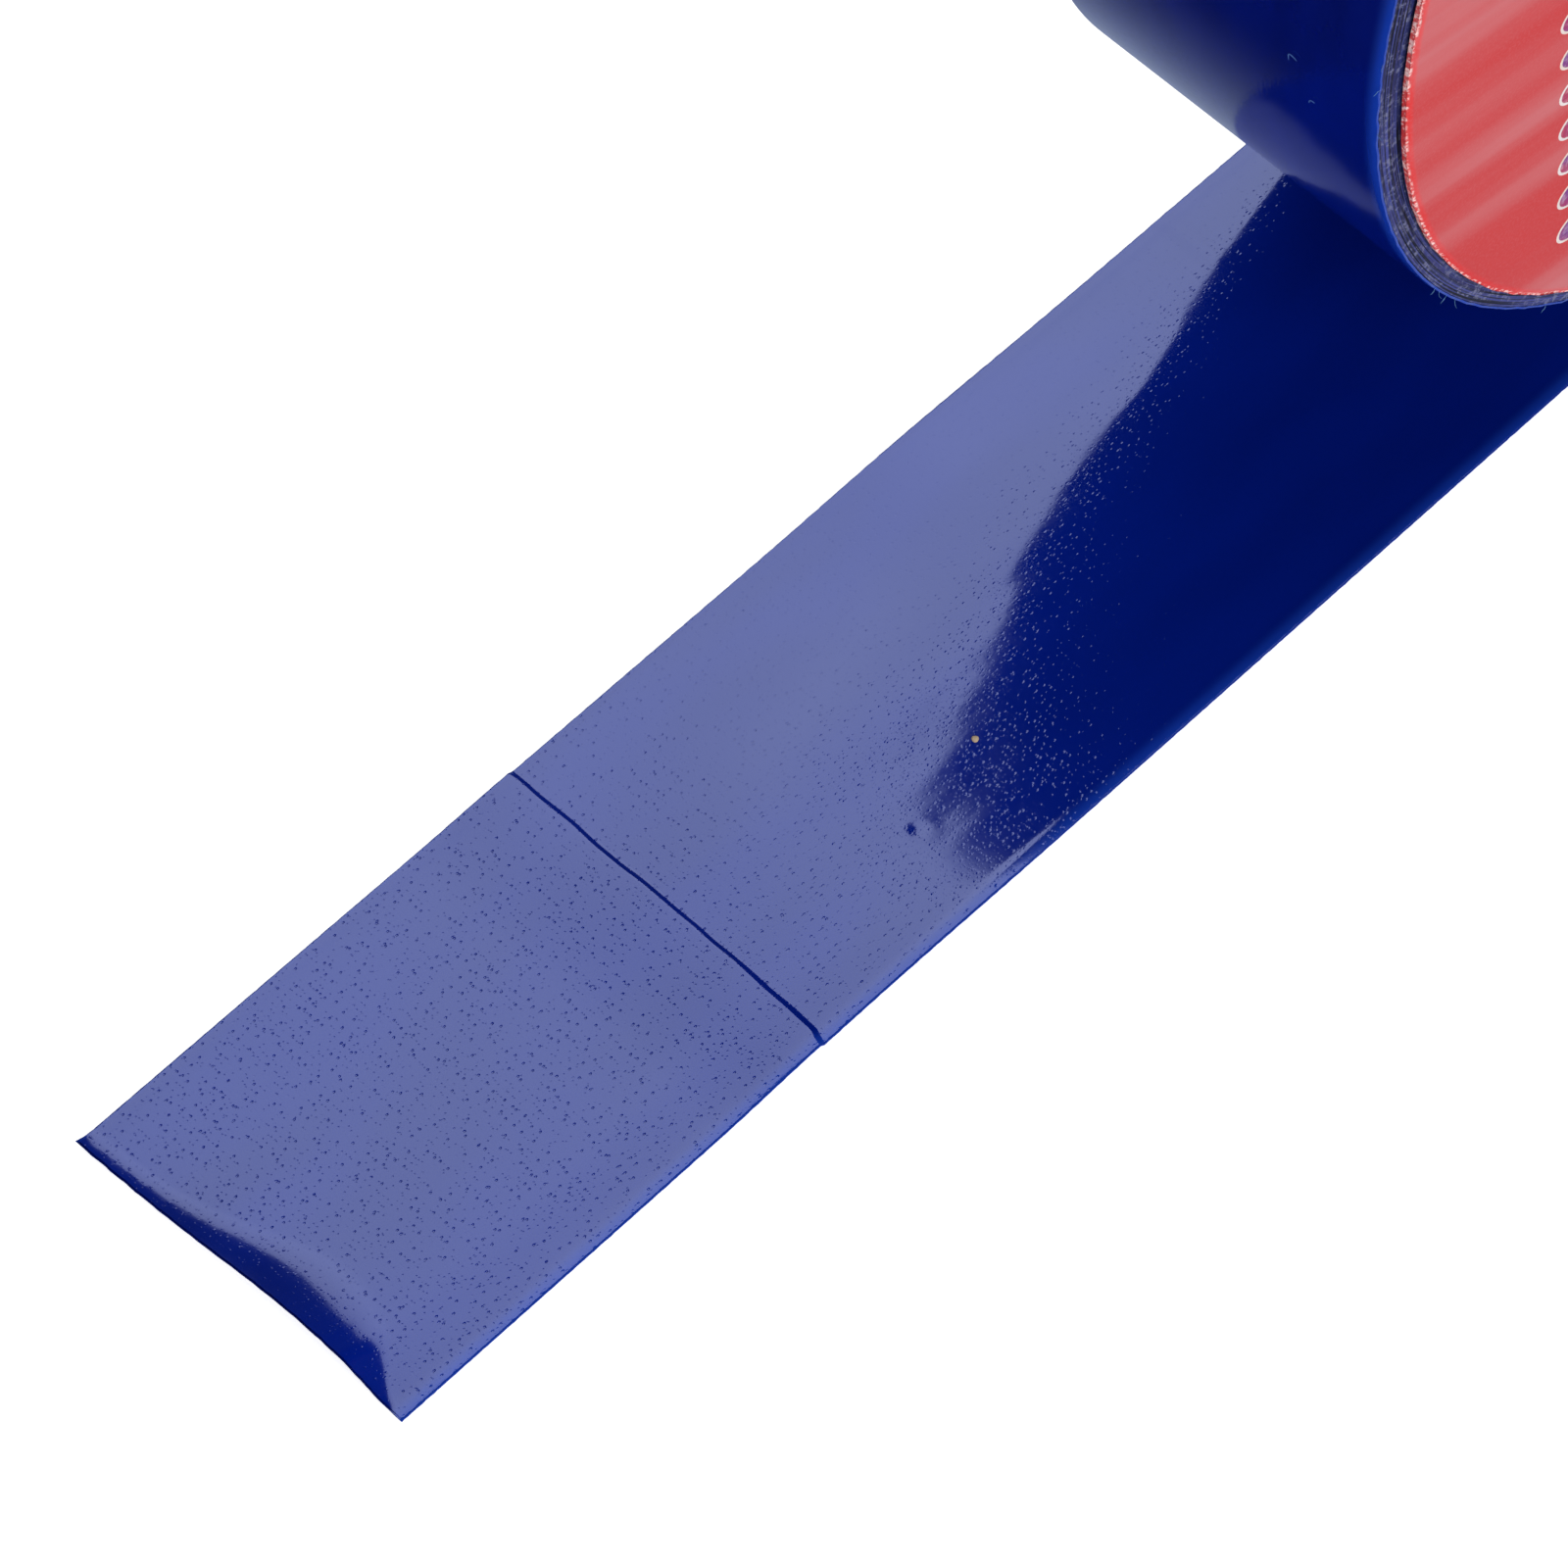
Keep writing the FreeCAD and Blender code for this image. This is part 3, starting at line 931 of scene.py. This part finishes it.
class TAPE_OT_lint(bpy.types.Operator):
    """Adds the hairs of lint on the roll and the grain that sticks to the strip"""

    bl_idname = "tape.lint"
    bl_label = "Lint"

    def execute(self, context):
        pale = paper("pale_lint", (0.10, 0.22, 0.42), 0.3, 0.6)
        threads = finish_piece(lint("lint_hairs", self.hairs()), pale, "tape_backing")
        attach(threads, "lead")
        along, across, radius = 52.0 * MM, -3.6 * MM, 0.15 * MM
        surface = TABLE + FILM + GLUE + float(lie(np.array(along), np.array(across)))
        grain = crumb("stuck_grain", (-along, across, surface + 0.2 * radius), radius, 0.6, 4)
        finish_piece(grain, paper("cream_grain", (0.55, 0.42, 0.28)), "tape_adhesive")
        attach(grain, "middle")
        return {"FINISHED"}

    def hairs(self):
        """Short hairs at random places on the roll's near rim, and two longer ones on its outer face.

        Each has its start in millimetres, two directions that give its plane, its heading in that plane, its
        length in millimetres and its bend.
        """
        draw = np.random.default_rng(9)
        hairs, radius, count, root = [], -TABLE / MM, 26, 0.22
        for turn in draw.uniform(math.radians(175), math.radians(300), count):
            out = np.array((math.cos(turn), 0, math.sin(turn)))
            start = radius * out + np.array((0, -HALF_WIDTH / MM + draw.uniform(-0.02, 0.04), 0))
            heading, length, bend = draw.uniform(-0.2, 0.7), draw.uniform(0.3, 0.5), draw.uniform(-2, 2)
            hairs.append((start - root * out, out, (0, -1, 0), heading, length, bend))
        for height, across, length, bend in ((-1.2, -4.9, 0.9, 3.6), (-2.9, -6.3, 0.5, -2.4)):
            reach = math.sqrt(radius**2 - height**2) + 0.015
            hairs.append(((-reach, across, height), (0, 1, 0), (0, 0, 1), 0.6, length, bend))
        return hairs


class TAPE_OT_label(bpy.types.Operator):
    """Builds the label's card with its plain printed ovals, and colours its ring of glue"""

    bl_idname = "tape.label"
    bl_label = "Label"

    def execute(self, context):
        card = finish_piece(label_disc("label"), red_card(), "label_card", "label_card")
        outline = finish_piece(printed_beads("print_outlines", 0.012 * MM, 0.08 * MM),
                               bead_ink("white_ink", (0.62, 0.50, 0.42), (0.62, 0.58, 0.58)), "label_card")
        fills = finish_piece(printed_beads("print_fills", 0.024 * MM, 0.0),
                             bead_ink("violet_ink", (0.14, 0.02, 0.20), (0.40, 0.02, 0.05)), "label_card")
        for piece in (card, outline, fills):
            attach(piece, "roll")
        glue = frame["nodes"]["label_glue"]
        glue.data.materials.clear()
        glue.data.materials.append(amber_glue())
        return {"FINISHED"}


class TAPE_OT_stage(bpy.types.Operator):
    """Sets up the table, the softbox, the room's light and the camera"""

    bl_idname = "tape.stage"
    bl_label = "Stage"

    def execute(self, context):
        stage = context.scene.tape_stage
        half, gap = 3.0, 0.01 * MM
        corners = np.array([[(-half, -half), (half, -half)], [(-half, half), (half, half)]])
        points = np.concatenate((corners, np.full((2, 2, 1), TABLE - gap)), axis=-1)
        table = make_mesh("table", points, grid_faces(2, 2, False, False))
        table.data.materials.append(table_paint())
        table.visible_glossy = False
        self.light(stage)
        self.camera(context, stage)
        return {"FINISHED"}

    def light(self, stage):
        """A softbox that the strip mirrors to the camera, a fill light on the label's side, and the room."""
        self.softbox("softbox", stage.key_way, stage.key_distance, stage.key_size, stage.key_glow,
                     stage.key_spread)
        self.softbox("fill", stage.fill_way, stage.fill_distance, stage.fill_size, stage.fill_glow, math.pi)
        bpy.context.scene.world = room(stage)
        bpy.context.scene.view_settings.view_transform = "Standard"

    def softbox(self, name, way, distance, size, glow, spread):
        """A square area light that faces the strip's middle. Glow is the brightness of its face."""
        aim, back = Vector((STRIP_LENGTH * -0.5, 0, TABLE)), Vector(way).normalized()
        lamp = bpy.data.lights.new(name, "AREA")
        lamp.shape, lamp.size, lamp.spread = "SQUARE", size, spread
        lamp.energy = glow * math.pi * size**2
        box = bpy.data.objects.new(name, lamp)
        turned = back.to_track_quat("Z", "Y").to_matrix().to_4x4()
        box.matrix_world = Matrix.Translation(aim + back * distance) @ turned
        bpy.context.scene.collection.objects.link(box)

    def camera(self, context, stage):
        """A long lens at the given direction and distance from its target, with a small tilt."""
        lens = bpy.data.cameras.new("camera")
        lens.lens, lens.sensor_width = stage.lens, 36.0
        lens.clip_start, lens.clip_end = 0.01, 20.0
        flat, rise = math.cos(stage.elevation), math.sin(stage.elevation)
        back = Vector((math.sin(stage.azimuth) * flat, -math.cos(stage.azimuth) * flat, rise))
        right = Vector((0, 0, 1)).cross(back).normalized()
        turned = Matrix((right, back.cross(right), back)).transposed()
        turned = turned @ Matrix.Rotation(stage.tilt, 3, "Z")
        camera = bpy.data.objects.new("camera", lens)
        place = Vector(stage.target) + back * stage.distance
        camera.matrix_world = Matrix.Translation(place) @ turned.to_4x4()
        context.scene.collection.objects.link(camera)
        context.scene.camera = camera


class TAPE_PT_panel(bpy.types.Panel):
    """Lists the steps that build the tape roll, and its sizes and colours"""

    bl_idname = "TAPE_PT_panel"
    bl_label = "Tape Roll"
    bl_space_type = "VIEW_3D"
    bl_region_type = "UI"
    bl_category = "Tape"

    def draw(self, context):
        for operator in STEPS:
            self.layout.operator(operator.bl_idname)
        for group in (context.scene.tape_sizes, context.scene.tape_looks, context.scene.tape_stage):
            for name in group.__annotations__:
                self.layout.prop(group, name)


STEPS = (TAPE_OT_stage, TAPE_OT_core, TAPE_OT_coil, TAPE_OT_strip, TAPE_OT_label, TAPE_OT_lint)
GROUPS = {"tape_sizes": TapeSizes, "tape_looks": TapeLooks, "tape_stage": TapeStage}


def register():
    for kind in (*GROUPS.values(), *STEPS, TAPE_PT_panel):
        bpy.utils.register_class(kind)
    for name, group in GROUPS.items():
        setattr(bpy.types.Scene, name, PointerProperty(type=group))


def unregister():
    for name in GROUPS:
        delattr(bpy.types.Scene, name)
    for kind in (TAPE_PT_panel, *reversed(STEPS), *reversed(tuple(GROUPS.values()))):
        bpy.utils.unregister_class(kind)


def main():
    register()
    bpy.ops.tape.stage()
    bpy.ops.tape.core()
    bpy.ops.tape.coil()
    bpy.ops.tape.strip()
    bpy.ops.tape.label()
    bpy.ops.tape.lint()


if __name__ == "__main__":
    main()
